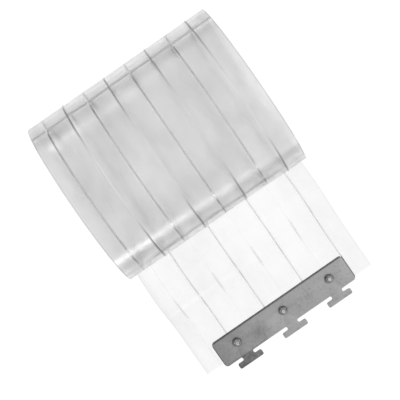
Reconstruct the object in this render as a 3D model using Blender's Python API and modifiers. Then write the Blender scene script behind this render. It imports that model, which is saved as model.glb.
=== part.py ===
"""Clear ribbed curtain strip, wound as a loose roll, with its stainless hanger plates.

The roll lies on the floor with its axis along X.  Its free end runs along the floor
towards -Y, rises in one low hump on the way, and ends between two plates that clamp it.
The upper plate has the T hooks that hang in a curtain rail.  All lengths are in metres,
+Z is up, and the origin is on the floor under the middle of the whole object.
"""

import math

import bmesh
import bpy
from mathutils import Vector

# Sheet
STRIP_WIDTH = 0.300
STRIP_THICKNESS = 0.003

# Ribs of the sheet: they alternate between its two faces
RIB_PITCH = 0.035
FIRST_RIB_FROM_EDGE = 0.0245
RIB_HEIGHT = 0.0013
RIB_BASE_WIDTH = 0.0034
RIB_CREST_WIDTH = 0.0016

# Roll: the radius is that of the sheet's centre where it leaves the floor
ROLL_RADIUS = 0.1282
ROLL_TURNS = 2.29
TURN_GAP = 0.0006
STEPS_PER_TURN = 48

# Free end: its reach is from the roll's axis to the sheet's cut end.  The hump's place and
# length are shares of the run from the roll's axis to the plates
TAIL_REACH = 0.333
HUMP_HEIGHT = 0.034
HUMP_CENTRE_SHARE = 0.625
HUMP_LENGTH_SHARE = 0.50
LIFT_RUN = 0.030
TAIL_STEPS = 26

# Plates
PLATE_LENGTH = 0.240
PLATE_HEIGHT = 0.0425
PLATE_CORNER_RADIUS = 0.0055
PLATE_PAST_STRIP_END = 0.0055
HOOK_PLATE_THICKNESS = 0.0015
CLAMP_PLATE_THICKNESS = 0.0015

# T hooks: the slot is the space between the plate's edge and the hook's head
HOOK_COUNT = 3
HOOK_PITCH = 0.082
HOOK_NECK_WIDTH = 0.0195
HOOK_HEAD_WIDTH = 0.0425
HOOK_HEAD_HEIGHT = 0.0093
HOOK_SLOT = 0.0059
HOOK_SLOT_FILLET = 0.0022
HOOK_HEAD_FILLET = 0.0026
JOGGLE_DROP = 0.0015
JOGGLE_START = 0.0010
JOGGLE_RUN = 0.0040
JOGGLE_STEPS = 4
CORNER_STEPS = 5

# Studs, washers and nuts
STUD_COUNT = 3
STUD_FROM_PLATE_END = 0.035
STUD_ABOVE_PLATE_CENTRE = 0.0025
STUD_DIAMETER = 0.006
STUD_HEAD_DIAMETER = 0.0082
STUD_PAST_NUT = 0.002
STUD_CHAMFER = 0.0006
WASHER_DIAMETER = 0.0125
WASHER_THICKNESS = 0.0016
WASHER_EDGE_BREAK = 0.0003
NUT_ACROSS_FLATS = 0.010
NUT_HEIGHT = 0.005
NUT_CHAMFER_RISE = 0.0006
NUT_FACE_SHARE = 0.95
NUT_SIDES = 6
ROUND_STEPS = 32

# Clearances
SEAT_GAP = 0.0003
STUD_CLEARANCE = 0.0003
CUT_OVERRUN = 0.002
WELD_DISTANCE = 0.000001
SHARP_ANGLE = math.radians(30)

# Sizes worked out from those above
TURN_PITCH = STRIP_THICKNESS + RIB_HEIGHT + TURN_GAP
HALF_SHEET = STRIP_THICKNESS / 2
SHEET_ON_FLOOR = RIB_HEIGHT + HALF_SHEET
ROLL_AXIS_HEIGHT = SHEET_ON_FLOOR + ROLL_RADIUS
SHEET_IN_CLAMP = CLAMP_PLATE_THICKNESS + SEAT_GAP + RIB_HEIGHT + HALF_SHEET
HOOK_PLATE_BOTTOM = SHEET_IN_CLAMP + HALF_SHEET + RIB_HEIGHT + SEAT_GAP
HOOK_PLATE_TOP = HOOK_PLATE_BOTTOM + HOOK_PLATE_THICKNESS
WASHER_BOTTOM = HOOK_PLATE_TOP + SEAT_GAP
NUT_BOTTOM = WASHER_BOTTOM + WASHER_THICKNESS + SEAT_GAP
STUD_TOP = NUT_BOTTOM + NUT_HEIGHT + STUD_PAST_NUT
STUD_PITCH = (PLATE_LENGTH - 2 * STUD_FROM_PLATE_END) / (STUD_COUNT - 1)
STUD_RADIUS = STUD_DIAMETER / 2
HOLE_RADIUS = STUD_RADIUS + STUD_CLEARANCE
STUD_HEAD_RADIUS = STUD_HEAD_DIAMETER / 2
STUD_CONE_HEIGHT = STUD_HEAD_RADIUS - STUD_RADIUS


def spiral_radius(angle):
    """Radius of the sheet's centre, where the angle counts from the bottom of the roll."""
    return ROLL_RADIUS - TURN_PITCH * angle / math.tau


# Places along Y: the whole object is centred on the origin
ROLL_BACK = spiral_radius(math.pi / 2) + HALF_SHEET + RIB_HEIGHT
HOOK_TIP_REACH = TAIL_REACH + PLATE_PAST_STRIP_END + HOOK_SLOT + HOOK_HEAD_HEIGHT
ROLL_Y = (HOOK_TIP_REACH - ROLL_BACK) / 2
STRIP_END_Y = ROLL_Y - TAIL_REACH
PLATE_FRONT_Y = STRIP_END_Y - PLATE_PAST_STRIP_END
PLATE_CENTRE_Y = PLATE_FRONT_Y + PLATE_HEIGHT / 2
STUD_Y = PLATE_CENTRE_Y + STUD_ABOVE_PLATE_CENTRE

# Free run of the sheet, from under the roll's axis to the plates
TAIL_RUN = TAIL_REACH + PLATE_PAST_STRIP_END - PLATE_HEIGHT - SEAT_GAP


def clear_scene():
    for item in list(bpy.data.objects):
        bpy.data.objects.remove(item)


def new_collection(name):
    collection = bpy.data.collections.new(name)
    bpy.context.scene.collection.children.link(collection)
    return collection


def make_material(name, colour, roughness, metallic, alpha=1.0):
    material = bpy.data.materials.new(name)
    material.use_nodes = True
    shader = material.node_tree.nodes["Principled BSDF"]
    shader.inputs["Base Color"].default_value = (*colour, 1.0)
    shader.inputs["Roughness"].default_value = roughness
    shader.inputs["Metallic"].default_value = metallic
    shader.inputs["Alpha"].default_value = alpha
    return material


def add_object(name, data, collection, material=None, location=(0.0, 0.0, 0.0)):
    item = bpy.data.objects.new(name, data)
    item.location = location
    if material is not None:
        data.materials.append(material)
    collection.objects.link(item)
    return item


def shade_round(mesh):
    mesh.shade_smooth()
    mesh.set_sharp_from_angle(angle=SHARP_ANGLE)


def flat_curve(name, lines, closed=True):
    """A curve in its own XY plane, with one spline through each line of points."""
    curve = bpy.data.curves.new(name, "CURVE")
    curve.dimensions = "2D"
    for points in lines:
        spline = curve.splines.new("POLY")
        spline.points.add(len(points) - 1)
        for target, (x, y) in zip(spline.points, points):
            target.co = (x, y, 0.0, 1.0)
        spline.use_cyclic_u = closed
    return curve


def curve_to_mesh(curve_object, collection, material):
    """Replace a curve object by a welded mesh object with the same name and place."""
    name = curve_object.name
    bpy.context.view_layer.update()
    evaluated = curve_object.evaluated_get(bpy.context.evaluated_depsgraph_get())
    mesh = bpy.data.meshes.new_from_object(evaluated)
    solid = bmesh.new()
    solid.from_mesh(mesh)
    bmesh.ops.remove_doubles(solid, verts=solid.verts, dist=WELD_DISTANCE)
    bmesh.ops.recalc_face_normals(solid, faces=solid.faces)
    solid.to_mesh(mesh)
    solid.free()
    mesh.materials.clear()
    placed = curve_object.matrix_world.copy()
    bpy.data.objects.remove(curve_object)
    item = add_object(name, mesh, collection, material)
    item.matrix_world = placed
    return item


def turned_mesh(name, profile, closed):
    """The profile of a turned piece, as (radius, height) points for a Screw modifier."""
    mesh = bpy.data.meshes.new(name)
    vertices = [(radius, 0.0, height) for radius, height in profile]
    edges = [(index, index + 1) for index in range(len(profile) - 1)]
    if closed:
        edges.append((len(profile) - 1, 0))
    mesh.from_pydata(vertices, edges, [])
    return mesh


def turn(item):
    """Sweep a turned piece's profile once round its own Z axis."""
    screw = item.modifiers.new("turn", "SCREW")
    screw.axis = "Z"
    screw.steps = ROUND_STEPS
    screw.render_steps = ROUND_STEPS
    screw.use_merge_vertices = True
    screw.merge_threshold = WELD_DISTANCE
    screw.use_smooth_shade = True


def cut(item, cutter, operation="DIFFERENCE"):
    boolean = item.modifiers.new(operation.lower(), "BOOLEAN")
    boolean.object = cutter
    boolean.operation = operation
    boolean.solver = "EXACT"


def as_cutter(item):
    item.hide_render = True
    item.display_type = "WIRE"
    return item


def rounded_outline(corners):
    """Points round a closed outline whose corners are given as (x, y, fillet radius)."""
    points = []
    for index, (x, y, radius) in enumerate(corners):
        corner = Vector((x, y))
        towards_last = (Vector(corners[index - 1][:2]) - corner).normalized()
        towards_next = (Vector(corners[(index + 1) % len(corners)][:2]) - corner).normalized()
        half_angle = towards_last.angle(towards_next) / 2
        centre = corner + (towards_last + towards_next).normalized() * radius / math.sin(half_angle)
        setback = radius / math.tan(half_angle)
        start = (corner + towards_last * setback - centre).normalized()
        end = (corner + towards_next * setback - centre).normalized()
        for step in range(CORNER_STEPS + 1):
            points.append(tuple(centre + start.slerp(end, step / CORNER_STEPS) * radius))
    return points


def spread(count, pitch):
    """Places of equally spaced pieces that are centred on zero."""
    return [(index - (count - 1) / 2) * pitch for index in range(count)]


def rib_places():
    """Distance of each rib from the sheet's centre line, and its face: 1 is the roll's outside."""
    room = STRIP_WIDTH - FIRST_RIB_FROM_EDGE - RIB_BASE_WIDTH
    count = int(room / RIB_PITCH) + 1
    first = FIRST_RIB_FROM_EDGE - STRIP_WIDTH / 2
    return [(first + index * RIB_PITCH, 1 if index % 2 else -1) for index in range(count)]


def rib_corners(across, face):
    """Corners of one rib, as (offset from the sheet's centre, distance across the sheet)."""
    skin = face * HALF_SHEET
    crest = face * (HALF_SHEET + RIB_HEIGHT)
    return [
        (skin, across - RIB_BASE_WIDTH / 2),
        (crest, across - RIB_CREST_WIDTH / 2),
        (crest, across + RIB_CREST_WIDTH / 2),
        (skin, across + RIB_BASE_WIDTH / 2),
    ]


def sheet_section():
    """The extruded section of the sheet: a flat bar with a rib at each rib place."""
    half_width = STRIP_WIDTH / 2
    outer_face = [(HALF_SHEET, -half_width)]
    inner_face = [(-HALF_SHEET, -half_width)]
    for across, face in rib_places():
        side = outer_face if face > 0 else inner_face
        side.extend(rib_corners(across, face))
    outer_face.append((HALF_SHEET, half_width))
    inner_face.append((-HALF_SHEET, half_width))
    return outer_face + inner_face[::-1]


def tail_height(reach):
    """Height of the sheet's centre at a distance from the roll's axis, outside the plates."""
    lift = min(1.0, max(0.0, 1 - (TAIL_RUN - reach) / LIFT_RUN))
    height = SHEET_ON_FLOOR + (SHEET_IN_CLAMP - SHEET_ON_FLOOR) * lift * lift * (3 - 2 * lift)
    from_crest = abs(reach / TAIL_RUN - HUMP_CENTRE_SHARE) / (HUMP_LENGTH_SHARE / 2)
    if from_crest < 1:
        height += HUMP_HEIGHT * (1 + math.cos(math.pi * from_crest)) / 2
    return height


def sheet_path():
    """Centre line of the sheet seen along the roll's axis: the clamped end, the floor, the roll."""
    hump_start = TAIL_RUN * (HUMP_CENTRE_SHARE - HUMP_LENGTH_SHARE / 2)
    points = [(-TAIL_REACH, SHEET_IN_CLAMP)]
    for step in range(TAIL_STEPS + 1):
        reach = TAIL_RUN + (hump_start - TAIL_RUN) * step / TAIL_STEPS
        points.append((-reach, tail_height(reach)))
    for step in range(math.ceil(ROLL_TURNS * STEPS_PER_TURN) + 1):
        angle = min(step / STEPS_PER_TURN, ROLL_TURNS) * math.tau
        radius = spiral_radius(angle)
        points.append((radius * math.sin(angle), ROLL_AXIS_HEIGHT - radius * math.cos(angle)))
    return points


def report_path(points):
    """Print the sheet's developed length and the least gap between its turns."""
    places = [Vector(point) for point in points]
    length = sum((b - a).length for a, b in zip(places, places[1:]))
    nearest = ROLL_RADIUS
    for index, place in enumerate(places):
        for other in range(index + STEPS_PER_TURN // 2, len(places) - 1):
            a = places[other]
            along = places[other + 1] - a
            share = min(1.0, max(0.0, (place - a).dot(along) / along.length_squared))
            nearest = min(nearest, (a + along * share - place).length)
    gap = nearest - STRIP_THICKNESS - RIB_HEIGHT
    print(f"sheet length {length:.4f} m, least gap between turns {gap * 1000:.2f} mm")


def build_strip(parts, cutters, material):
    section = flat_curve("sheet_section", [sheet_section()])
    section.fill_mode = "NONE"
    section_object = as_cutter(add_object("sheet_section", section, cutters))
    path = sheet_path()
    report_path(path)
    curve = flat_curve("pvc_strip", [path], closed=False)
    curve.fill_mode = "NONE"
    curve.bevel_mode = "OBJECT"
    curve.bevel_object = section_object
    curve.use_fill_caps = True
    guide = add_object("pvc_strip", curve, parts, location=(0.0, ROLL_Y, 0.0))
    guide.rotation_euler = (math.pi / 2, 0.0, math.pi / 2)
    strip = curve_to_mesh(guide, parts, material)
    shade_round(strip.data)
    return strip


def circle_points(x, y, radius):
    angles = [step * math.tau / ROUND_STEPS for step in range(ROUND_STEPS)]
    return [(x + radius * math.cos(angle), y + radius * math.sin(angle)) for angle in angles]


def plate_from_outline(name, corners, thickness, bottom, parts, material):
    """A flat plate with its stud holes, its outline in plan and its underside at the height bottom."""
    lines = [rounded_outline(corners)]
    lines += [circle_points(x, STUD_Y - PLATE_CENTRE_Y, HOLE_RADIUS) for x in spread(STUD_COUNT, STUD_PITCH)]
    curve = flat_curve(name, lines)
    curve.fill_mode = "BOTH"
    curve.extrude = thickness / 2
    place = (0.0, PLATE_CENTRE_Y, bottom + thickness / 2)
    return curve_to_mesh(add_object(name, curve, parts, location=place), parts, material)


def plate_corners(front_edge):
    """Corners of a plate; front_edge holds those along its edge at -Y between the two ends."""
    half_length = PLATE_LENGTH / 2
    half_height = PLATE_HEIGHT / 2
    return [
        (-half_length, -half_height, PLATE_CORNER_RADIUS),
        *front_edge,
        (half_length, -half_height, PLATE_CORNER_RADIUS),
        (half_length, half_height, PLATE_CORNER_RADIUS),
        (-half_length, half_height, PLATE_CORNER_RADIUS),
    ]


def hook_corners(centre):
    """Corners of one T hook, from left to right along the plate's front edge."""
    edge = -PLATE_HEIGHT / 2
    shoulder = edge - HOOK_SLOT
    tip = shoulder - HOOK_HEAD_HEIGHT
    slot_fillet = min(HOOK_SLOT_FILLET, HOOK_SLOT / 2 - SEAT_GAP)
    head_fillet = min(HOOK_HEAD_FILLET, HOOK_HEAD_HEIGHT / 2 - SEAT_GAP)
    left_half = [
        (-HOOK_NECK_WIDTH / 2, edge, slot_fillet),
        (-HOOK_NECK_WIDTH / 2, shoulder, slot_fillet),
        (-HOOK_HEAD_WIDTH / 2, shoulder, head_fillet),
        (-HOOK_HEAD_WIDTH / 2, tip, head_fillet),
    ]
    right_half = [(-x, y, fillet) for x, y, fillet in reversed(left_half)]
    return [(centre + x, y, fillet) for x, y, fillet in left_half + right_half]


def joggle_hooks(plate):
    """Bend the hooks down at their necks, by a short run of straight folds."""
    start = -PLATE_HEIGHT / 2 - JOGGLE_START
    folds = [start - JOGGLE_RUN * step / JOGGLE_STEPS for step in range(JOGGLE_STEPS + 1)]
    solid = bmesh.new()
    solid.from_mesh(plate.data)
    for fold in folds:
        geometry = solid.verts[:] + solid.edges[:] + solid.faces[:]
        bmesh.ops.bisect_plane(
            solid, geom=geometry, dist=WELD_DISTANCE, plane_co=(0.0, fold, 0.0), plane_no=(0.0, 1.0, 0.0)
        )
    for vertex in solid.verts:
        steps_past = (start - vertex.co.y) / JOGGLE_RUN * JOGGLE_STEPS
        vertex.co.z -= fold_drop(steps_past)
    solid.to_mesh(plate.data)
    solid.free()


def fold_drop(steps_past):
    """Drop of the joggle after so many of its folds, straight between two folds."""
    steps_past = min(JOGGLE_STEPS, max(0.0, steps_past))
    fold = min(JOGGLE_STEPS - 1, int(steps_past))
    drops = []
    for step in (fold, fold + 1):
        share = step / JOGGLE_STEPS
        drops.append(JOGGLE_DROP * share * share * (3 - 2 * share))
    return drops[0] + (drops[1] - drops[0]) * (steps_past - fold)


def build_plates(parts, material):
    clamp_plate = plate_from_outline(
        "clamp_plate", plate_corners([]), CLAMP_PLATE_THICKNESS, 0.0, parts, material
    )
    front_edge = [corner for x in spread(HOOK_COUNT, HOOK_PITCH) for corner in hook_corners(x)]
    hook_plate = plate_from_outline(
        "hook_plate", plate_corners(front_edge), HOOK_PLATE_THICKNESS, HOOK_PLATE_BOTTOM, parts, material
    )
    joggle_hooks(hook_plate)
    return clamp_plate


def stud_profile():
    """Half outline of a stud: a chamfered shank on a countersunk head."""
    return [
        (0.0, STUD_TOP),
        (STUD_RADIUS - STUD_CHAMFER, STUD_TOP),
        (STUD_RADIUS, STUD_TOP - STUD_CHAMFER),
        (STUD_RADIUS, STUD_CONE_HEIGHT),
        (STUD_HEAD_RADIUS, 0.0),
        (0.0, 0.0),
    ]


def washer_profile():
    """Closed outline of a washer's ring with its two outer edges broken."""
    radius = WASHER_DIAMETER / 2
    return [
        (HOLE_RADIUS, WASHER_THICKNESS),
        (radius - WASHER_EDGE_BREAK, WASHER_THICKNESS),
        (radius, WASHER_THICKNESS - WASHER_EDGE_BREAK),
        (radius, WASHER_EDGE_BREAK),
        (radius - WASHER_EDGE_BREAK, 0.0),
        (HOLE_RADIUS, 0.0),
    ]


def nut_blank_profile():
    """Half outline of the round blank whose cones chamfer the nut's corners."""
    corner_radius = NUT_ACROSS_FLATS / 2 / math.cos(math.pi / NUT_SIDES)
    face_radius = NUT_ACROSS_FLATS / 2 * NUT_FACE_SHARE
    outer_radius = corner_radius + CUT_OVERRUN
    slope = NUT_CHAMFER_RISE / (corner_radius - face_radius)
    rise = slope * (outer_radius - face_radius)
    return [
        (0.0, NUT_HEIGHT),
        (face_radius, NUT_HEIGHT),
        (outer_radius, NUT_HEIGHT - rise),
        (outer_radius, rise),
        (face_radius, 0.0),
        (0.0, 0.0),
    ]


def hexagon_mesh():
    mesh = bpy.data.meshes.new("nut")
    solid = bmesh.new()
    corner_radius = NUT_ACROSS_FLATS / 2 / math.cos(math.pi / NUT_SIDES)
    bmesh.ops.create_cone(
        solid, cap_ends=True, segments=NUT_SIDES, radius1=corner_radius, radius2=corner_radius, depth=NUT_HEIGHT
    )
    bmesh.ops.translate(solid, verts=solid.verts, vec=(0.0, 0.0, NUT_HEIGHT / 2))
    solid.to_mesh(mesh)
    solid.free()
    return mesh


def hole_mesh(radius_low, radius_high, low, high):
    """A round cutter that may taper, from the height low to the height high."""
    mesh = bpy.data.meshes.new("hole")
    solid = bmesh.new()
    bmesh.ops.create_cone(
        solid, cap_ends=True, segments=ROUND_STEPS, radius1=radius_low, radius2=radius_high, depth=high - low
    )
    bmesh.ops.translate(solid, verts=solid.verts, vec=(0.0, 0.0, (low + high) / 2))
    solid.to_mesh(mesh)
    solid.free()
    return mesh


def build_fasteners(parts, cutters, strip, clamp_plate, material):
    """At each stud place: the sheet's hole, the countersink, the stud, its washer and its nut."""
    hole = hole_mesh(HOLE_RADIUS, HOLE_RADIUS, -CUT_OVERRUN, STUD_TOP + CUT_OVERRUN)
    sink_top = STUD_CONE_HEIGHT + CUT_OVERRUN
    sink_low_radius = STUD_HEAD_RADIUS + STUD_CLEARANCE + CUT_OVERRUN
    sink_high_radius = sink_low_radius - (sink_top + CUT_OVERRUN)
    sink = hole_mesh(sink_low_radius, sink_high_radius, -CUT_OVERRUN, sink_top)
    stud = turned_mesh("stud", stud_profile(), closed=False)
    washer = turned_mesh("washer", washer_profile(), closed=True)
    blank = turned_mesh("nut_blank", nut_blank_profile(), closed=False)
    nut = hexagon_mesh()
    for mesh in (stud, washer, nut):
        mesh.materials.append(material)
    sides = ("left", "middle", "right")
    for side, x in zip(sides, spread(STUD_COUNT, STUD_PITCH)):
        floor_place = (x, STUD_Y, 0.0)
        hole_cutter = as_cutter(add_object(f"hole_{side}", hole, cutters, location=floor_place))
        sink_cutter = as_cutter(add_object(f"sink_{side}", sink, cutters, location=floor_place))
        cut(strip, hole_cutter)
        cut(clamp_plate, sink_cutter)

        turn(add_object(f"stud_{side}", stud, parts, location=floor_place))
        turn(add_object(f"washer_{side}", washer, parts, location=(x, STUD_Y, WASHER_BOTTOM)))

        nut_place = (x, STUD_Y, NUT_BOTTOM)
        blank_cutter = as_cutter(add_object(f"nut_blank_{side}", blank, cutters, location=nut_place))
        turn(blank_cutter)
        nut_object = add_object(f"nut_{side}", nut, parts, location=nut_place)
        cut(nut_object, blank_cutter, "INTERSECT")
        cut(nut_object, hole_cutter)


def main():
    clear_scene()
    parts = new_collection("pvc_strip_curtain")
    cutters = new_collection("cutters")
    clear_pvc = make_material("clear_pvc", (0.86, 0.88, 0.89), 0.15, 0.0, alpha=0.4)
    stainless = make_material("stainless", (0.55, 0.55, 0.54), 0.35, 1.0)
    strip = build_strip(parts, cutters, clear_pvc)
    clamp_plate = build_plates(parts, stainless)
    build_fasteners(parts, cutters, strip, clamp_plate, stainless)


main()
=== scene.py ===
import math

import bmesh
import bpy
from mathutils import Matrix, Vector, noise


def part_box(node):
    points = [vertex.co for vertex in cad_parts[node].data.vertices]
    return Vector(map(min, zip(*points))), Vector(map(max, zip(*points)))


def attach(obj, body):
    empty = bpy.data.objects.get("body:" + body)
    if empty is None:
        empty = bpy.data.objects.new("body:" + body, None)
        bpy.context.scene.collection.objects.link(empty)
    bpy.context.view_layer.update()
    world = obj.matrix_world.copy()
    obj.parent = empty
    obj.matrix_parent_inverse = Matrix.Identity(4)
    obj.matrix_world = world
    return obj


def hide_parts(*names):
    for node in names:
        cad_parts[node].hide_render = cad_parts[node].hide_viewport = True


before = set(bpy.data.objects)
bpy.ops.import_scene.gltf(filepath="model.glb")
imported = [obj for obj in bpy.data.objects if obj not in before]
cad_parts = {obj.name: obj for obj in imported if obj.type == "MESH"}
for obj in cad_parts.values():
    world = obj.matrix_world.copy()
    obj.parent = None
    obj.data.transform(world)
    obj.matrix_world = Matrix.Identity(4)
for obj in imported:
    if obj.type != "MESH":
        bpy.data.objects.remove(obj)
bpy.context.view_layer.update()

# Sizes of the solids, in metres
STRIP_WIDTH = 0.300
STRIP_THICKNESS = 0.003
RIB_PITCH = 0.035
FIRST_RIB_FROM_EDGE = 0.0245
RIB_COUNT = 8
RIB_HEIGHT = 0.0013
ROLL_RADIUS = 0.1282
ROLL_TURNS = 2.29
TURN_PITCH = 0.0049
TAIL_REACH = 0.333
HUMP_HEIGHT = 0.034
HUMP_CENTRE_SHARE = 0.625
HUMP_LENGTH_SHARE = 0.50
LIFT_RUN = 0.030
SEAT_GAP = 0.0003
STUD_RADIUS = 0.003
STUD_CHAMFER = 0.0006
HOLE_RADIUS = 0.0033
STUD_HEAD_RADIUS = 0.0041
HOOK_HEAD_HEIGHT = 0.0093
HOOK_SLOT = 0.0059
WASHER_RADIUS = 0.00625

# Sizes of what only the scene adds
RIB_WIDTH = 0.0020
RIB_TOP_POWER = 2.2
RIB_FOOT_POWER = 0.9
EDGE_RADIUS = 0.0005
THREAD_PITCH = 0.0010
THREAD_DEPTH = 0.00055
THREAD_STEEPNESS = 1.25
PLATE_BEVEL = 0.00035
FASTENER_BEVEL = 0.0002

# How the soft sheet strays from its ideal form
LEAN = 0.0035
LEAN_START = 0.5
WAVE = 0.00065
WAVE_SCALE = 16.0
WAVE_ACROSS = 0.55
WAVE_CLEARANCE = 0.004
WAVE_FADE = 0.05
RIPPLE_SHARE = 0.5
RIPPLE_SCALE = 2.3
RIPPLE_OFFSET = Vector((3.1, 0.0, 0.0))
TURN_DRIFT = 0.0001
CUT_SKEW = 0.0038
SKEWED_HUMP_SHARE = 0.5

# Where the sheet counts as the roll's and no longer as the free end's
ROLL_FROM_Y = -0.1
ROLL_FROM_Z = 0.08

# Fineness of the meshes
STEPS_PER_TURN = 120
HUMP_STEPS = 56
FLOOR_STEPS = 9
CLAMP_STEPS = 4
FLAT_STEP = 0.012
SUPPORT = 0.0003
RIB_STEPS = 10
EDGE_STEPS = 3
ROUND_STEPS = 40
THREAD_STEPS = 8
BEVEL_STEPS = 3
WELD_DISTANCE = 1e-6
CUTTER_HEIGHT = 0.05

# Angles in degrees: faces this flat are joined, edges this bent are bevelled or shaded sharp
FLAT_ANGLE = 0.5
BEVEL_ANGLE = 35
SHARP_ON_SHEET = 40
SHARP_ON_BEVELLED = 30
SHARP_ON_STUD = 35

# Least upward share of a normal for a face that looks up
LOOKS_UP = 0.8

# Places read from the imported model
SIDES = ("left", "middle", "right")
clamp_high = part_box("clamp_plate")[1]
hook_low, hook_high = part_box("hook_plate")
STRIP_END_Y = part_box("pvc_strip")[0][1]
ROLL_Y = STRIP_END_Y + TAIL_REACH
HALF_SHEET = STRIP_THICKNESS / 2
SHEET_ON_FLOOR = RIB_HEIGHT + HALF_SHEET
SHEET_IN_CLAMP = clamp_high[2] + SEAT_GAP + SHEET_ON_FLOOR
ROLL_AXIS_HEIGHT = SHEET_ON_FLOOR + ROLL_RADIUS
TAIL_RUN = ROLL_Y - clamp_high[1] - SEAT_GAP
PLATE_FRONT_Y = hook_low[1] + HOOK_HEAD_HEIGHT + HOOK_SLOT


def smooth_step(value):
    value = min(1.0, max(0.0, value))
    return value * value * (3 - 2 * value)


def middle_of(low, high):
    """The X and Y of a box's middle."""
    return (low[0] + high[0]) / 2, (low[1] + high[1]) / 2


# Sheet

def rib_height(offset):
    """Height of a rib's rounded crest, at an offset from its middle."""
    share = min(1.0, abs(offset) / (RIB_WIDTH / 2))
    return RIB_HEIGHT * (1 - share ** RIB_TOP_POWER) ** RIB_FOOT_POWER


def flat_points(start, end):
    """Places across one flat field, with a support point close to each end for flat shading."""
    count = max(1, round((end - start) / FLAT_STEP))
    inner = [start + (end - start) * step / count for step in range(1, count)]
    return [start, start + SUPPORT, *inner, end - SUPPORT, end]


def face_points(places):
    """One face of the sheet's section, as (distance across, height over the face)."""
    edge = STRIP_WIDTH / 2 - EDGE_RADIUS
    starts = [-edge] + [place + RIB_WIDTH / 2 for place in places]
    ends = [place - RIB_WIDTH / 2 for place in places] + [edge]
    points = []
    for index, (start, end) in enumerate(zip(starts, ends)):
        points += [(across, 0.0) for across in flat_points(start, end)]
        if index < len(places):
            for step in range(1, RIB_STEPS):
                offset = RIB_WIDTH * (step / RIB_STEPS - 0.5)
                points.append((places[index] + offset, rib_height(offset)))
    return points


def sheet_section():
    """The section as (offset towards the roll's outside, distance across)."""
    first = FIRST_RIB_FROM_EDGE - STRIP_WIDTH / 2
    places = [first + index * RIB_PITCH for index in range(RIB_COUNT)]
    outer = [(HALF_SHEET + rise, across) for across, rise in face_points(places[1::2])]
    inner = [(-HALF_SHEET - rise, across) for across, rise in face_points(places[0::2])]
    edge = []
    for side in (1, -1):
        for step in range(1, EDGE_STEPS + 1):
            angle = math.pi / 2 * ((side + 1) / 2 - step / EDGE_STEPS)
            edge.append((
                side * (HALF_SHEET - EDGE_RADIUS) + EDGE_RADIUS * math.sin(angle),
                STRIP_WIDTH / 2 - EDGE_RADIUS + EDGE_RADIUS * math.cos(angle),
            ))
    edge = edge[:-1]
    other_edge = [(-offset, -across) for offset, across in edge]
    return outer + edge + inner[::-1] + other_edge


def tail_height(reach):
    """Height of the sheet's centre at a distance from the roll's axis, outside the plates."""
    lift = smooth_step(1 - (TAIL_RUN - reach) / LIFT_RUN)
    height = SHEET_ON_FLOOR + (SHEET_IN_CLAMP - SHEET_ON_FLOOR) * lift
    from_crest = abs(reach / TAIL_RUN - HUMP_CENTRE_SHARE) / (HUMP_LENGTH_SHARE / 2)
    if from_crest < 1:
        height += HUMP_HEIGHT * (1 + math.cos(math.pi * from_crest)) / 2
    return height


def roll_radius(angle):
    """Radius of the sheet's centre, with the loose roll's slight lean to the front."""
    lean = LEAN * math.sin(2 * angle) * smooth_step((1 - math.cos(angle)) / LEAN_START)
    return ROLL_RADIUS - TURN_PITCH * angle / math.tau + lean


def sheet_stations():
    """Centre line from the cut end to the roll's core, as (y from the roll's axis, z, turns wound)."""
    hump_start = TAIL_RUN * (HUMP_CENTRE_SHARE - HUMP_LENGTH_SHARE / 2)
    stations = []
    for step in range(CLAMP_STEPS):
        reach = TAIL_REACH + (TAIL_RUN - TAIL_REACH) * step / CLAMP_STEPS
        stations.append((-reach, SHEET_IN_CLAMP, 0.0))
    for step in range(HUMP_STEPS):
        reach = TAIL_RUN + (hump_start - TAIL_RUN) * step / HUMP_STEPS
        stations.append((-reach, tail_height(reach), 0.0))
    for step in range(FLOOR_STEPS):
        stations.append((-hump_start * (1 - step / FLOOR_STEPS), SHEET_ON_FLOOR, 0.0))
    for step in range(round(ROLL_TURNS * STEPS_PER_TURN) + 1):
        turns = step / STEPS_PER_TURN
        angle = turns * math.tau
        radius = roll_radius(angle)
        height = ROLL_AXIS_HEIGHT - radius * math.cos(angle)
        stations.append((radius * math.sin(angle), height, turns))
    return stations


def sheet_wave(across, y, z):
    """Slight unevenness of the free sheet, alike on every turn, and none where it lies on the floor."""
    place = Vector((y, 0.0, z - ROLL_AXIS_HEIGHT))
    if y > ROLL_FROM_Y or z > ROLL_FROM_Z:
        place = place.normalized() * ROLL_RADIUS
    place = Vector((across * WAVE_ACROSS, place.x, place.z)) * WAVE_SCALE
    free = smooth_step((z - SHEET_IN_CLAMP - WAVE_CLEARANCE) / WAVE_FADE)
    ripple = noise.noise(place * RIPPLE_SCALE + RIPPLE_OFFSET)
    return WAVE * free * (noise.noise(place) + RIPPLE_SHARE * ripple)


def shade(data, sharp_angle):
    """Smooth shading, apart from edges that are bent by more than the given degrees."""
    data.shade_smooth()
    data.set_sharp_from_angle(angle=math.radians(sharp_angle))


def finish_mesh(mesh, name, sharp_angle):
    """Mesh data from a bmesh, with its normals outward and its shading set."""
    bmesh.ops.recalc_face_normals(mesh, faces=mesh.faces)
    data = bpy.data.meshes.new(name)
    mesh.to_mesh(data)
    mesh.free()
    shade(data, sharp_angle)
    return data


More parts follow.
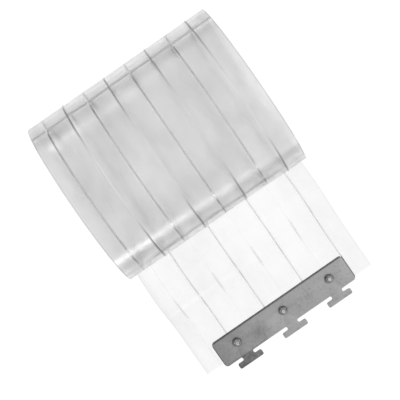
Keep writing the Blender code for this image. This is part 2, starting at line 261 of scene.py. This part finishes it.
def sheet_mesh():
    """The section swept along the stations, and closed at both ends."""
    section = sheet_section()
    stations = sheet_stations()
    places = [Vector((0.0, y, z)) for y, z, _ in stations]
    skewed_steps = CLAMP_STEPS + HUMP_STEPS * SKEWED_HUMP_SHARE
    mesh = bmesh.new()
    rings = []
    for index, place in enumerate(places):
        before = places[max(0, index - 1)]
        after = places[min(len(places) - 1, index + 1)]
        along = (after - before).normalized()
        outward = Vector((0.0, along.z, -along.y))
        skew = CUT_SKEW / STRIP_WIDTH * smooth_step(1 - index / skewed_steps)
        drift = TURN_DRIFT * stations[index][2]
        ring = []
        for offset, across in section:
            lift = offset + sheet_wave(across, place.y, place.z)
            point = place + outward * lift - along * (skew * across)
            ring.append(mesh.verts.new((across + drift, ROLL_Y + point.y, point.z)))
        rings.append(ring)
    for low, high in zip(rings, rings[1:]):
        for step in range(len(section)):
            after = (step + 1) % len(section)
            mesh.faces.new((low[step], high[step], high[after], low[after]))
    mesh.faces.new(rings[0])
    mesh.faces.new(rings[-1][::-1])
    bmesh.ops.triangulate(mesh, faces=[face for face in mesh.faces if len(face.verts) > 4])
    return finish_mesh(mesh, "strip", SHARP_ON_SHEET)


def mark_cut_end(data):
    """Give the sheet's inner end face, which looks up, the second material."""
    angle = ROLL_TURNS * math.tau
    radius = roll_radius(angle)
    end = Vector((ROLL_Y + radius * math.sin(angle), ROLL_AXIS_HEIGHT - radius * math.cos(angle)))
    for polygon in data.polygons:
        away = Vector(polygon.center[1:]) - end
        if polygon.normal.z > LOOKS_UP and away.length < 2 * STRIP_THICKNESS:
            polygon.material_index = 1


def punch_holes(strip):
    """Cut the stud holes through the strip's end."""
    cutters = []
    for side in SIDES:
        mesh = bmesh.new()
        bmesh.ops.create_cone(
            mesh,
            cap_ends=True,
            segments=ROUND_STEPS,
            radius1=HOLE_RADIUS,
            radius2=HOLE_RADIUS,
            depth=CUTTER_HEIGHT,
        )
        cutter = bpy.data.objects.new("hole", finish_mesh(mesh, "hole", SHARP_ON_SHEET))
        cutter.location = (*middle_of(*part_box(f"stud_{side}")), 0.0)
        bpy.context.scene.collection.objects.link(cutter)
        hole = strip.modifiers.new("hole", "BOOLEAN")
        hole.object = cutter
        hole.operation = "DIFFERENCE"
        hole.solver = "MANIFOLD"
        cutters.append(cutter)
    bpy.context.view_layer.update()
    evaluated = strip.evaluated_get(bpy.context.evaluated_depsgraph_get())
    data = bpy.data.meshes.new_from_object(evaluated)
    shade(data, SHARP_ON_SHEET)
    strip.modifiers.clear()
    strip.data = data
    for cutter in cutters:
        bpy.data.objects.remove(cutter)


# Plates and fasteners

def bevelled_mesh(name, width):
    """The solid of a CAD node with its triangles joined into faces and its edges rounded."""
    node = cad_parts[name]
    mesh = bmesh.new()
    mesh.from_mesh(node.data)
    mesh.transform(node.matrix_world)
    bmesh.ops.remove_doubles(mesh, verts=mesh.verts, dist=WELD_DISTANCE)
    bmesh.ops.dissolve_limit(
        mesh, angle_limit=math.radians(FLAT_ANGLE), verts=mesh.verts, edges=mesh.edges
    )
    bent = [
        edge for edge in mesh.edges
        if len(edge.link_faces) == 2 and edge.calc_face_angle() > math.radians(BEVEL_ANGLE)
    ]
    bmesh.ops.bevel(
        mesh,
        geom=bent,
        offset=width,
        segments=BEVEL_STEPS,
        profile=0.5,
        affect="EDGES",
        clamp_overlap=True,
    )
    bmesh.ops.triangulate(mesh, faces=[face for face in mesh.faces if len(face.verts) > 4])
    return finish_mesh(mesh, name, SHARP_ON_BEVELLED)


def stud_mesh(low, high):
    """A countersunk stud with a rolled thread: rings whose radius follows the helix."""
    centre = Vector((*middle_of(low, high), low[2]))
    cone_height = STUD_HEAD_RADIUS - STUD_RADIUS
    length = high[2] - low[2]
    rows = round((length - cone_height) / THREAD_PITCH * THREAD_STEPS)
    mesh = bmesh.new()

    def add_ring(radius_at, height):
        ring = []
        for step in range(ROUND_STEPS):
            angle = step * math.tau / ROUND_STEPS
            radius = radius_at(angle)
            place = Vector((radius * math.cos(angle), radius * math.sin(angle), height))
            ring.append(mesh.verts.new(centre + place))
        return ring

    rings = [add_ring(lambda angle: STUD_HEAD_RADIUS, 0.0)]
    for row in range(rows + 1):
        height = cone_height + (length - cone_height) * row / rows
        chamfer = max(0.0, height - (length - STUD_CHAMFER))

        def thread_radius(angle, height=height, chamfer=chamfer):
            phase = (height / THREAD_PITCH - angle / math.tau) % 1.0
            groove = THREAD_DEPTH * min(1.0, THREAD_STEEPNESS * (1 - abs(2 * phase - 1)))
            return min(STUD_RADIUS - groove, STUD_RADIUS - chamfer)

        rings.append(add_ring(thread_radius, height))
    for low_ring, high_ring in zip(rings, rings[1:]):
        for step in range(ROUND_STEPS):
            after = (step + 1) % ROUND_STEPS
            mesh.faces.new((low_ring[step], low_ring[after], high_ring[after], high_ring[step]))
    mesh.faces.new(rings[0][::-1])
    mesh.faces.new(rings[-1])
    return finish_mesh(mesh, "stud", SHARP_ON_STUD)


def add_piece(name, data, material, node):
    """A scene piece that takes a CAD node's place."""
    piece = bpy.data.objects.new(name, data)
    bpy.context.scene.collection.objects.link(piece)
    piece.data.materials.clear()
    piece.data.materials.append(material)
    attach(piece, "root")
    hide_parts(node)
    return piece


# Material nodes

def new_material(name):
    material = bpy.data.materials.new(name)
    material.use_nodes = True
    return material, material.node_tree, material.node_tree.nodes["Principled BSDF"]


def split_axes(tree, vector):
    """The X, Y and Z of a vector, by name."""
    node = tree.nodes.new("ShaderNodeSeparateXYZ")
    tree.links.new(vector, node.inputs[0])
    return node.outputs


def add_noise(tree, coordinates, scale, detail=2.0, stretch=(1.0, 1.0, 1.0), roughness=0.5):
    """A noise texture in the object's own metres, drawn out along an axis by a small factor."""
    mapping = tree.nodes.new("ShaderNodeMapping")
    mapping.inputs["Scale"].default_value = stretch
    texture = tree.nodes.new("ShaderNodeTexNoise")
    texture.inputs["Scale"].default_value = scale
    texture.inputs["Detail"].default_value = detail
    texture.inputs["Roughness"].default_value = roughness
    tree.links.new(coordinates, mapping.inputs["Vector"])
    tree.links.new(mapping.outputs["Vector"], texture.inputs["Vector"])
    return texture.outputs["Fac"]


def add_ramp(tree, factor, stops):
    """A ramp of greys, as (position, level) stops."""
    ramp = tree.nodes.new("ShaderNodeValToRGB")
    elements = ramp.color_ramp.elements
    while len(elements) < len(stops):
        elements.new(0.5)
    for element, (position, level) in zip(elements, stops):
        element.position = position
        element.color = (level, level, level, 1.0)
    tree.links.new(factor, ramp.inputs["Fac"])
    return ramp.outputs["Color"]


def add_range(tree, factor, low, high, start=0.0, end=1.0):
    """The factor's stretch from start to end, made to run from low to high."""
    node = tree.nodes.new("ShaderNodeMapRange")
    node.inputs["From Min"].default_value = start
    node.inputs["From Max"].default_value = end
    node.inputs["To Min"].default_value = low
    node.inputs["To Max"].default_value = high
    tree.links.new(factor, node.inputs["Value"])
    return node.outputs["Result"]


def add_rise(tree, factor, start, end):
    """0 up to the start, rising to 1 at the end."""
    return add_range(tree, factor, 0.0, 1.0, start, end)


def add_fall(tree, factor, start, end):
    """1 up to the start, falling to 0 at the end."""
    return add_range(tree, factor, 1.0, 0.0, start, end)


def add_math(tree, operation, first, second):
    node = tree.nodes.new("ShaderNodeMath")
    node.operation = operation
    for socket, value in zip(node.inputs, (first, second)):
        if isinstance(value, float):
            socket.default_value = value
        else:
            tree.links.new(value, socket)
    return node.outputs[0]


def multiply_colours(tree, first, second):
    mix = tree.nodes.new("ShaderNodeMix")
    mix.data_type = "RGBA"
    mix.blend_type = "MULTIPLY"
    mix.inputs["Factor"].default_value = 1.0
    tree.links.new(first, mix.inputs[6])
    tree.links.new(second, mix.inputs[7])
    return mix.outputs[2]


def darken(tree, colour, mask, level):
    """The colour times the level where the mask is 1."""
    return multiply_colours(tree, colour, add_ramp(tree, mask, [(0.0, 1.0), (1.0, level)]))


def near_point(tree, coordinates, place, radius, fade):
    """1 within a radius of a place in the object's own metres, falling to 0 over the fade."""
    away = tree.nodes.new("ShaderNodeVectorMath")
    away.operation = "DISTANCE"
    tree.links.new(coordinates, away.inputs[0])
    away.inputs[1].default_value = place
    return add_fall(tree, away.outputs["Value"], radius, radius + fade)


def add_bump(tree, height, distance, strength=1.0, normal=None):
    bump = tree.nodes.new("ShaderNodeBump")
    bump.inputs["Strength"].default_value = strength
    bump.inputs["Distance"].default_value = distance
    tree.links.new(height, bump.inputs["Height"])
    if normal is not None:
        tree.links.new(normal, bump.inputs["Normal"])
    return bump.outputs["Normal"]


# Materials of the sheet

PVC_INDEX = 1.53
PVC_ABSORPTION = (0.60, 0.62, 0.63, 1.0)
PVC_ABSORPTION_DENSITY = 3.0
DRAWN_STREAKS = (1.0, 0.5, 0.5)
DRAWN_LINES = (1.0, 0.02, 0.02)
STREAK_LEVELS = ((0.32, 0.935), (0.62, 1.0))
PVC_ROUGHNESS = (0.04, 0.095)
WORN_ROUGHNESS = 0.075
WORN_HEIGHTS = (0.175, 0.222)
LINE_DEPTH = 0.00003
CUT_LEVELS = ((0.30, 0.86), (0.70, 0.97))
CUT_ROUGHNESS = 0.5

# Painted shade beside the ribs, for the dark lines that refraction draws there:
# full up to the first distance from a rib's middle, and none from the second
INNER_RIB_SHADE = (0.0006, 0.0016)
INNER_RIB_LEVEL = 0.975
OUTER_RIB_SHADE = (0.0006, 0.0014)
OUTER_RIB_LEVEL = 0.955

# Painted shade along the strip's edges, for the dark line that refraction draws there, likewise by the
# distance inside the edge
SHEET_EDGE_SHADE = (0.0009, 0.0014)
EDGE_LEVEL = 0.93


def clear_pvc():
    """Clear soft PVC, glossy and faintly grey.

    It has drawn lines along its length and light scuffs, painted shade beside the ribs and along the
    cut edges for the dark lines of refraction, and a worn, rougher upper side of the roll.
    """
    material, tree, shader = new_material("clear_pvc")
    coordinates = tree.nodes.new("ShaderNodeTexCoord").outputs["Object"]
    shader.inputs["Transmission Weight"].default_value = 1.0
    shader.inputs["IOR"].default_value = PVC_INDEX
    place = split_axes(tree, coordinates)
    from_first_rib = add_math(tree, "ADD", place["X"], STRIP_WIDTH / 2 - FIRST_RIB_FROM_EDGE)
    from_inner_rib = add_math(tree, "PINGPONG", from_first_rib, RIB_PITCH)
    from_middle = add_math(tree, "ABSOLUTE", place["X"], 0.0)
    # Masks of painted shade beside the ribs, for the dark lines that refraction draws there
    inner_rib_shade = add_fall(tree, from_inner_rib, *INNER_RIB_SHADE)
    full, none = OUTER_RIB_SHADE
    outer_rib_shade = add_rise(tree, from_inner_rib, RIB_PITCH - none, RIB_PITCH - full)
    # Mask of painted shade along the strip's edges
    full, none = SHEET_EDGE_SHADE
    sheet_edge_shade = add_rise(tree, from_middle, STRIP_WIDTH / 2 - none, STRIP_WIDTH / 2 - full)
    streaks = add_noise(
        tree, coordinates, scale=18.0, detail=5.0, stretch=DRAWN_STREAKS, roughness=0.65
    )
    colour = add_ramp(tree, streaks, STREAK_LEVELS)
    # Painted shade beside the ribs and along the edges
    colour = darken(tree, colour, inner_rib_shade, INNER_RIB_LEVEL)
    colour = darken(tree, colour, outer_rib_shade, OUTER_RIB_LEVEL)
    colour = darken(tree, colour, sheet_edge_shade, EDGE_LEVEL)
    tree.links.new(colour, shader.inputs["Base Color"])
    scuffs = add_noise(tree, coordinates, scale=60.0, detail=5.0, stretch=DRAWN_STREAKS)
    scuffed = add_range(tree, scuffs, *PVC_ROUGHNESS, start=0.35, end=0.75)
    worn = add_range(tree, place["Z"], 0.0, WORN_ROUGHNESS, *WORN_HEIGHTS)
    tree.links.new(add_math(tree, "ADD", scuffed, worn), shader.inputs["Roughness"])
    drawn = add_noise(tree, coordinates, scale=150.0, detail=1.0, stretch=DRAWN_LINES)
    tree.links.new(add_bump(tree, drawn, LINE_DEPTH, strength=0.5), shader.inputs["Normal"])
    volume = tree.nodes.new("ShaderNodeVolumeAbsorption")
    volume.inputs["Color"].default_value = PVC_ABSORPTION
    volume.inputs["Density"].default_value = PVC_ABSORPTION_DENSITY
    tree.links.new(volume.outputs["Volume"], tree.nodes["Material Output"].inputs["Volume"])
    return material


def cut_pvc():
    """The matt face that a knife leaves on soft PVC."""
    material, tree, shader = new_material("clear_pvc_cut")
    coordinates = tree.nodes.new("ShaderNodeTexCoord").outputs["Object"]
    marks = add_noise(tree, coordinates, scale=300.0, detail=3.0, stretch=(0.2, 1.0, 1.0))
    tree.links.new(add_ramp(tree, marks, CUT_LEVELS), shader.inputs["Base Color"])
    shader.inputs["Roughness"].default_value = CUT_ROUGHNESS
    return material


# Materials of the plates and fasteners

CLOUD_LEVELS = ((0.28, 0.54), (0.42, 0.68), (0.70, 0.74))
SPECK_LEVELS = ((0.30, 0.82), (0.50, 1.0))
# Painted shade on the plates' faces that don't look up or down
PLATE_SIDE_SHADE_LEVELS = ((0.35, 0.35), (0.85, 1.0))
PLATE_ROUGHNESS = (0.30, 0.46)
UNEVEN_DEPTH = 0.0010
GRAIN_DEPTH = 0.00004
# Painted shade on the fasteners' faces that don't look up
FASTENER_SIDE_SHADE_LEVELS = ((0.45, 0.42), (0.90, 1.0))
FASTENER_ROUGHNESS_SPAN = 0.12
TURNING_DEPTH = 0.00002

# Painted shade on faces of the plates that look to the front, by the Y of their normal: all dark, not
# dark
FRONT_FACING = (-0.80, -0.45)
FRONT_FACE_SHADE_LEVEL = 0.45

# Painted shade on the plates, for the shadow in the gap between them at the back edge and along the
# ends, and a painted shadow around each washer: distances inside the back edge and the ends where it
# starts and is full
BACK_EDGE_SHADE = (0.0022, 0.0010)
END_SHADE = (0.0018, 0.0006)
PLATE_EDGE_SHADE_LEVEL = 0.40
# Painted shadow in a ring around each washer
WASHER_SHADOW_FADE = 0.0016
WASHER_SHADOW_LEVEL = 0.42

# Painted shade on the plates' left end and left hook, and one smudge, with the X where each is full and
# gone
LEFT_END = (-0.085, -0.045)
LEFT_END_SHADE_LEVEL = 0.80
LEFT_HOOK = (-0.05, -0.04)
HOOK_SHADE_FADE = 0.003
HOOK_SHADE_LEVEL = 0.48
SMUDGE_PLACE = (-0.047, PLATE_FRONT_Y + 0.014, hook_high[2])
SMUDGE_RADIUS = 0.002
SMUDGE_FADE = 0.020
SMUDGE_LEVEL = 0.62
BLOTCH_STRENGTH = (0.55, 1.0)


def stainless_plate():
    """Matt cold-rolled stainless sheet: grain and cloudy stains, with painted shade that darkens its
    sides, edges, left end and left hook, and a painted shadow around each washer.
    """
    material, tree, shader = new_material("stainless_plate")
    texture = tree.nodes.new("ShaderNodeTexCoord")
    coordinates = texture.outputs["Object"]
    shader.inputs["Metallic"].default_value = 1.0
    place = split_axes(tree, coordinates)
    facing = split_axes(tree, texture.outputs["Normal"])
    clouds = add_noise(tree, coordinates, scale=30.0, detail=5.0, roughness=0.62)
    specks = add_noise(tree, coordinates, scale=240.0, detail=4.0, roughness=0.7)
    colour = add_ramp(tree, clouds, CLOUD_LEVELS)
    colour = multiply_colours(tree, colour, add_ramp(tree, specks, SPECK_LEVELS))
    # Painted shade: faces that don't look up or down are darker, and those that look to the front more
    # so
    upright = add_math(tree, "ABSOLUTE", facing["Z"], 0.0)
    colour = multiply_colours(tree, colour, add_ramp(tree, upright, PLATE_SIDE_SHADE_LEVELS))
    colour = darken(tree, colour, add_fall(tree, facing["Y"], *FRONT_FACING), FRONT_FACE_SHADE_LEVEL)
    from_middle = add_math(tree, "ABSOLUTE", place["X"], 0.0)
    # Painted shade along the back edge and the ends
    for distance, edge, (start, full) in (
        (place["Y"], hook_high[1], BACK_EDGE_SHADE),
        (from_middle, hook_high[0], END_SHADE),
    ):
        shade_mask = add_rise(tree, distance, edge - start, edge - full)
        colour = darken(tree, colour, shade_mask, PLATE_EDGE_SHADE_LEVEL)
    # Painted shadow in a ring around each washer
    for side in SIDES:
        centre = (*middle_of(*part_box(f"stud_{side}")), hook_high[2])
        shade_mask = near_point(tree, coordinates, centre, WASHER_RADIUS, WASHER_SHADOW_FADE)
        colour = darken(tree, colour, shade_mask, WASHER_SHADOW_LEVEL)
    # Painted shade, darker towards the plates' left end
    colour = darken(tree, colour, add_fall(tree, place["X"], *LEFT_END), LEFT_END_SHADE_LEVEL)
    patches = add_noise(tree, coordinates, scale=110.0, detail=4.0)
    blotches = add_range(tree, patches, *BLOTCH_STRENGTH, start=0.35, end=0.60)
    # Painted shade on the left hook, broken into blotches
    on_hooks = add_fall(tree, place["Y"], PLATE_FRONT_Y, PLATE_FRONT_Y + HOOK_SHADE_FADE)
    on_left_hook = add_math(tree, "MULTIPLY", on_hooks, add_fall(tree, place["X"], *LEFT_HOOK))
    hook_shade = add_math(tree, "MULTIPLY", on_left_hook, blotches)
    colour = darken(tree, colour, hook_shade, HOOK_SHADE_LEVEL)
    near_smudge = near_point(tree, coordinates, SMUDGE_PLACE, SMUDGE_RADIUS, SMUDGE_FADE)
    colour = darken(tree, colour, add_math(tree, "MULTIPLY", near_smudge, blotches), SMUDGE_LEVEL)
    tree.links.new(colour, shader.inputs["Base Color"])
    roughness = add_range(tree, clouds, *PLATE_ROUGHNESS, start=0.3, end=0.7)
    tree.links.new(roughness, shader.inputs["Roughness"])
    grain = add_noise(tree, coordinates, scale=900.0, detail=2.0, stretch=(0.03, 1.0, 1.0))
    uneven = add_noise(tree, coordinates, scale=22.0, detail=1.0)
    normal = add_bump(tree, uneven, UNEVEN_DEPTH)
    normal = add_bump(tree, grain, GRAIN_DEPTH, strength=0.6, normal=normal)
    tree.links.new(normal, shader.inputs["Normal"])
    return material


def stainless_fastener(name, dull, bright, roughness):
    """Turned stainless between a dull and a bright level, with painted shade on faces that don't look
    up.
    """
    material, tree, shader = new_material(name)
    texture = tree.nodes.new("ShaderNodeTexCoord")
    coordinates = texture.outputs["Object"]
    shader.inputs["Metallic"].default_value = 1.0
    facing = split_axes(tree, texture.outputs["Normal"])
    marks = add_noise(tree, coordinates, scale=420.0, detail=4.0)
    # Painted shade on faces that don't look up
    side_shade = add_ramp(tree, facing["Z"], FASTENER_SIDE_SHADE_LEVELS)
    colour = multiply_colours(tree, add_ramp(tree, marks, [(0.35, dull), (0.60, bright)]), side_shade)
    tree.links.new(colour, shader.inputs["Base Color"])
    marked = add_range(
        tree, marks, roughness, roughness + FASTENER_ROUGHNESS_SPAN, start=0.3, end=0.7
    )
    tree.links.new(marked, shader.inputs["Roughness"])
    turned = add_noise(tree, coordinates, scale=1800.0, detail=1.0, stretch=(1.0, 1.0, 0.2))
    tree.links.new(add_bump(tree, turned, TURNING_DEPTH, strength=0.5), shader.inputs["Normal"])
    return material


# Floor

FLOOR_SIZE = 12.0
FLOOR_DROP = 0.0002
FLOOR_LEVEL = 0.80
FLOOR_ROUGHNESS = 0.9
FLOOR_SHADOW_LEVEL = 0.10

# Painted shade on the floor, seen only through the sheet and in reflections: a painted shadow under
# the roll and darker zones in front of and behind it, as how much darker the floor is at distances
# behind the roll's axis
FLOOR_SHADE_REACH = 1.2
FLOOR_SHADE = (
    (-1.20, 0.0), (-1.00, 0.72), (-0.53, 0.72), (-0.43, 0.07), (-0.36, 0.018), (-0.115, 0.018),
    (-0.085, 0.040), (0.12, 0.040), (0.20, 0.035), (0.38, 0.065), (0.46, 0.78), (1.00, 0.78),
    (1.20, 0.50),
)

# The same painted shade, beside the strip's edges and the roll's ends, at distances to the right of
# the strip's middle
FLOOR_SIDE_REACH = 0.3
FLOOR_SIDE_SHADE = (
    (-0.30, 0.0), (-0.18, 0.12), (-0.154, 0.12), (-0.143, 0.015), (-0.08, 0.0), (0.06, 0.0),
    (0.10, 0.010), (0.143, 0.045), (0.154, 0.08), (0.18, 0.08), (0.30, 0.0),
)


def add_floor():
    """A floor that is white to the camera, keeps the shadow, and has painted shade through the sheet
    and in reflections.
    """
    data = bpy.data.meshes.new("floor")
    mesh = bmesh.new()
    bmesh.ops.create_grid(mesh, x_segments=1, y_segments=1, size=FLOOR_SIZE / 2)
    mesh.to_mesh(data)
    mesh.free()
    floor = bpy.data.objects.new("floor", data)
    bpy.context.scene.collection.objects.link(floor)
    material, tree, shader = new_material("floor_white")
    shader.inputs["Base Color"].default_value = (FLOOR_LEVEL, FLOOR_LEVEL, FLOOR_LEVEL, 1.0)
    shader.inputs["Roughness"].default_value = FLOOR_ROUGHNESS
    shader.inputs["Specular IOR Level"].default_value = 0.0
    path = tree.nodes.new("ShaderNodeLightPath").outputs
    through = add_math(tree, "MAXIMUM", path["Is Glossy Ray"], path["Is Transmission Ray"])
    seen = add_math(tree, "MAXIMUM", path["Is Camera Ray"], through)
    place = split_axes(tree, tree.nodes.new("ShaderNodeTexCoord").outputs["Object"])
    shades = []
    for distance, middle, limit, levels in (
        (place["Y"], ROLL_Y, FLOOR_SHADE_REACH, FLOOR_SHADE),
        (place["X"], 0.0, FLOOR_SIDE_REACH, FLOOR_SIDE_SHADE),
    ):
        share = add_rise(tree, distance, middle - limit, middle + limit)
        stops = [((offset / limit + 1) / 2, level) for offset, level in levels]
        shades.append(add_ramp(tree, share, stops))
    # Painted shade, only for rays that pass through the sheet or are reflected
    dim = add_math(tree, "MULTIPLY", add_math(tree, "ADD", *shades), through)
    glow = tree.nodes.new("ShaderNodeEmission")
    tree.links.new(add_math(tree, "SUBTRACT", 1.0, dim), glow.inputs["Strength"])
    shade_catcher = tree.nodes.new("ShaderNodeBsdfDiffuse")
    shadow_colour = (FLOOR_SHADOW_LEVEL, FLOOR_SHADOW_LEVEL, FLOOR_SHADOW_LEVEL, 1.0)
    shade_catcher.inputs["Color"].default_value = shadow_colour
    white = tree.nodes.new("ShaderNodeAddShader")
    tree.links.new(glow.outputs[0], white.inputs[0])
    tree.links.new(shade_catcher.outputs[0], white.inputs[1])
    mix = tree.nodes.new("ShaderNodeMixShader")
    tree.links.new(seen, mix.inputs["Fac"])
    tree.links.new(shader.outputs[0], mix.inputs[1])
    tree.links.new(white.outputs[0], mix.inputs[2])
    tree.links.new(mix.outputs[0], tree.nodes["Material Output"].inputs["Surface"])
    floor.data.materials.append(material)
    floor.location.z = -FLOOR_DROP


# Light

ROOM_REACH = 0.30
ROOM_LEVELS = ((0.0, 0.45), (0.36, 0.36), (0.62, 0.66), (1.0, 0.60))

# One lamp low in front of the roll, with its levels from its lower edge to its top
LAMP_X = -0.18
LAMP_Z = 0.18
LAMP_DISTANCE = 2.1
LAMP_WIDTH = 0.64
LAMP_HEIGHT = 0.32
LAMP_POWER = 2.45
LAMP_UP_LEVELS = ((0.0, 0.75), (0.45, 1.0), (0.68, 1.0), (0.85, 0.4), (1.0, 0.0))
LAMP_EDGE_LEVEL = 0.12


def add_world():
    """A pale room that is darker to the left than to the right."""
    world = bpy.data.worlds.new("studio")
    bpy.context.scene.world = world
    world.use_nodes = True
    tree = world.node_tree
    towards = split_axes(tree, tree.nodes.new("ShaderNodeTexCoord").outputs["Generated"])
    across = add_rise(tree, towards["X"], -ROOM_REACH, ROOM_REACH)
    background = tree.nodes["Background"]
    tree.links.new(add_ramp(tree, across, ROOM_LEVELS), background.inputs["Color"])
    background.inputs["Strength"].default_value = 1.0


def add_lamp():
    """A lamp that is brightest at its left end and lower part, and fades to its right and its top.

    Its faintest level is about the room's, so that its edges don't show in the sheet.
    """
    name = "softbox_front_left"
    lamp = bpy.data.lights.new(name, "AREA")
    lamp.shape = "RECTANGLE"
    lamp.size = LAMP_WIDTH
    lamp.size_y = LAMP_HEIGHT
    lamp.energy = LAMP_POWER
    lamp.use_nodes = True
    tree = lamp.node_tree
    place = split_axes(tree, tree.nodes.new("ShaderNodeNewGeometry").outputs["Parametric"])
    up_level = add_ramp(tree, place["Y"], LAMP_UP_LEVELS)
    across_level = add_fall(tree, place["X"], 0.0, 1.0)
    patch = add_math(tree, "MULTIPLY", up_level, across_level)
    strength = add_math(tree, "ADD", patch, LAMP_EDGE_LEVEL)
    tree.links.new(strength, tree.nodes["Emission"].inputs["Strength"])
    box = bpy.data.objects.new(name, lamp)
    bpy.context.scene.collection.objects.link(box)
    box.location = (LAMP_X, ROLL_Y - LAMP_DISTANCE, LAMP_Z)
    box.rotation_euler = Vector((0.0, LAMP_DISTANCE, 0.0)).to_track_quat("-Z", "Y").to_euler()
    box.visible_camera = False


# Camera

CAMERA_PLACE = (0.0238, ROLL_Y + 0.1332, 2.2665)
SENSOR_WIDTH = 36.0
CLIP_START = 0.05
CLIP_END = 50.0

# Angles in degrees
CAMERA_TILT = 6.0
CAMERA_SWING = -0.79
CAMERA_TWIST = 0.15
CAMERA_TURN = 34.6

# In pixels
FOCAL_LENGTH = 1508
PICTURE_WIDTH = 400


def add_camera():
    """The camera looks almost straight down, and is turned in its own plane as the photograph is."""
    tilt = Matrix.Rotation(math.radians(CAMERA_TILT), 3, "X")
    swing = Matrix.Rotation(math.radians(CAMERA_SWING), 3, "Y")
    twist = Matrix.Rotation(math.radians(CAMERA_TWIST), 3, "Z")
    turn = Matrix.Rotation(math.radians(CAMERA_TURN), 3, "Z")
    to_camera = turn @ (tilt @ swing @ twist)
    data = bpy.data.cameras.new("camera")
    data.sensor_width = SENSOR_WIDTH
    data.lens = FOCAL_LENGTH / PICTURE_WIDTH * SENSOR_WIDTH
    data.clip_start = CLIP_START
    data.clip_end = CLIP_END
    camera = bpy.data.objects.new("camera", data)
    bpy.context.scene.collection.objects.link(camera)
    camera.matrix_world = Matrix.Translation(CAMERA_PLACE) @ to_camera.transposed().to_4x4()
    bpy.context.scene.camera = camera


pvc = clear_pvc()
plate_steel = stainless_plate()
# Lit and shaded copies of one stainless: the washers' dark levels are a painted shadow around each nut,
# and the studs' bright levels a painted highlight on their ends
fastener_steel = {
    "washer": stainless_fastener("stainless_washer_shaded", dull=0.22, bright=0.42, roughness=0.28),
    "nut": stainless_fastener("stainless_nut", dull=0.32, bright=0.68, roughness=0.18),
    "stud": stainless_fastener("stainless_stud_lit", dull=0.86, bright=0.97, roughness=0.14),
}

strip = add_piece("strip", sheet_mesh(), pvc, "pvc_strip")
strip.data.materials.append(cut_pvc())
mark_cut_end(strip.data)
punch_holes(strip)

for name in ("hook_plate", "clamp_plate"):
    mesh_data = bevelled_mesh(name, PLATE_BEVEL)
    add_piece(f"{name}_steel", mesh_data, plate_steel, name)
for side in SIDES:
    for kind in ("washer", "nut"):
        name = f"{kind}_{side}"
        mesh_data = bevelled_mesh(name, FASTENER_BEVEL)
        add_piece(f"{name}_steel", mesh_data, fastener_steel[kind], name)
    name = f"stud_{side}"
    mesh_data = stud_mesh(*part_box(name))
    add_piece(f"{name}_thread", mesh_data, fastener_steel["stud"], name)

for name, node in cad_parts.items():
    node.data.materials.clear()
    node.data.materials.append(pvc if name == "pvc_strip" else plate_steel)

add_floor()
add_world()
add_lamp()
add_camera()

scene = bpy.context.scene
scene.view_settings.view_transform = "Standard"
scene.cycles.max_bounces = 40
scene.cycles.transmission_bounces = 40
scene.cycles.transparent_max_bounces = 16
